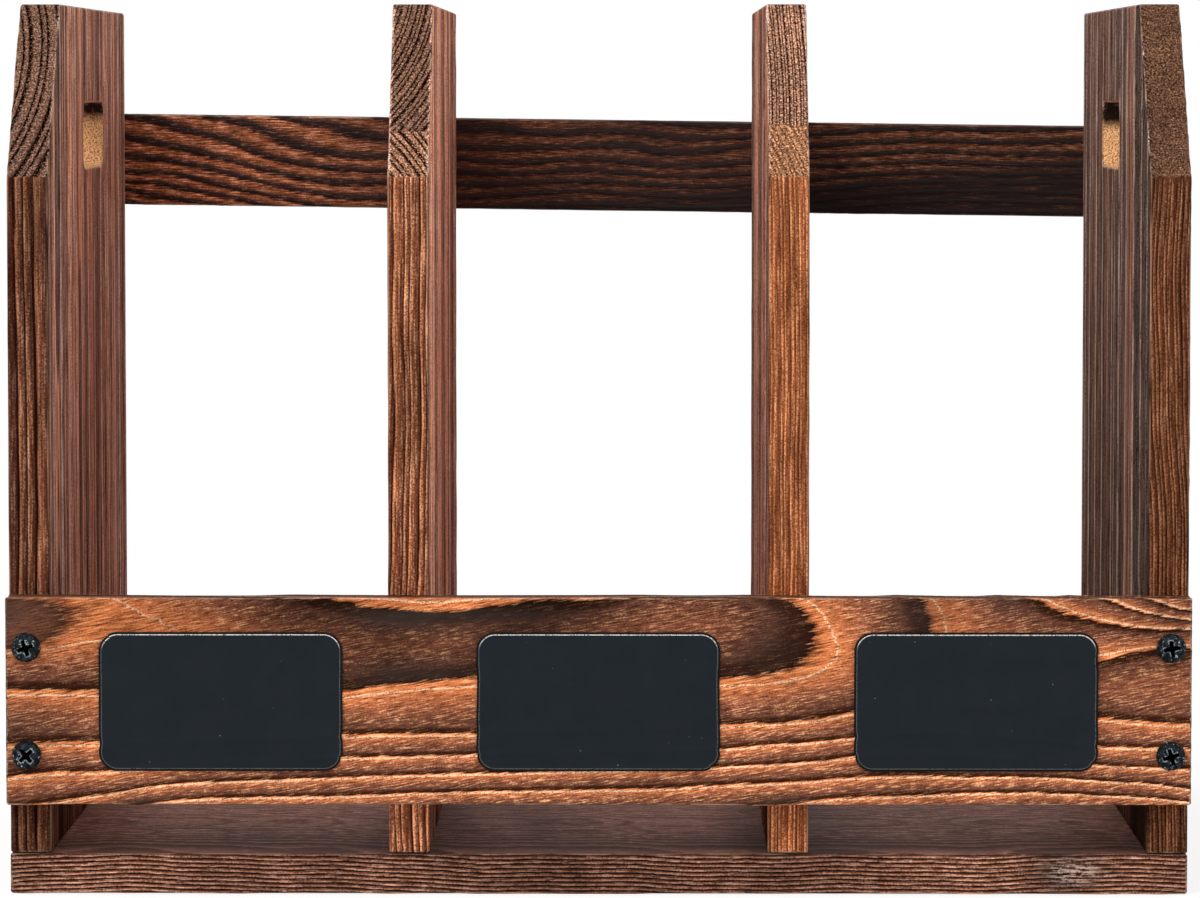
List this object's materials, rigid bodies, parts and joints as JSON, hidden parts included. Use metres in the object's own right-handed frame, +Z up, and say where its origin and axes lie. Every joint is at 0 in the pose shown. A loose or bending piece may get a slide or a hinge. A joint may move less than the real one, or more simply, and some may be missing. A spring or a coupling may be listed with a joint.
{
  "type": "desk document organizer",
  "caption": "Open desk organizer of torched softwood boards, with upright dividers, a labelled front board, a back rail and hand slots in its sides.",
  "frame": {"origin": "on the table, under the middle of the uprights' depth and of the organizer's width", "axes": "+Z up, the labelled front faces -Y, +X to the right seen from the front"},
  "size_m": [0.3404, 0.2706, 0.257],
  "materials": {
    "upright_wood": "torched and brushed softwood, satin varnish",
    "front_wood": "torched softwood with bold dark and orange figure, satin varnish",
    "base_wood": "torched and brushed softwood, close dark grain, satin varnish",
    "rail_wood": "deeply torched softwood, nearly black towards one end",
    "chalkboard": "matt blue-black chalkboard film",
    "black_steel": "black phosphated screws"
  },
  "bodies": {
    "root": {"base_board": "base_wood", "left_side": "upright_wood", "divider_1": "upright_wood", "divider_2": "upright_wood", "right_side": "upright_wood", "front_board": "front_wood", "back_rail": "rail_wood", "label_1": "chalkboard", "label_2": "chalkboard", "label_3": "chalkboard", "left_side_front_screw_upper": "black_steel", "left_side_front_screw_lower": "black_steel", "right_side_front_screw_upper": "black_steel", "right_side_front_screw_lower": "black_steel", "left_side_base_screw_front": "black_steel", "left_side_base_screw_back": "black_steel", "divider_1_base_screw_front": "black_steel", "divider_1_base_screw_back": "black_steel", "divider_2_base_screw_front": "black_steel", "divider_2_base_screw_back": "black_steel", "right_side_base_screw_front": "black_steel", "right_side_base_screw_back": "black_steel", "left_side_rail_screw": "black_steel", "divider_1_rail_screw": "black_steel", "divider_2_rail_screw": "black_steel", "right_side_rail_screw": "black_steel"}
  },
  "joints": []
}
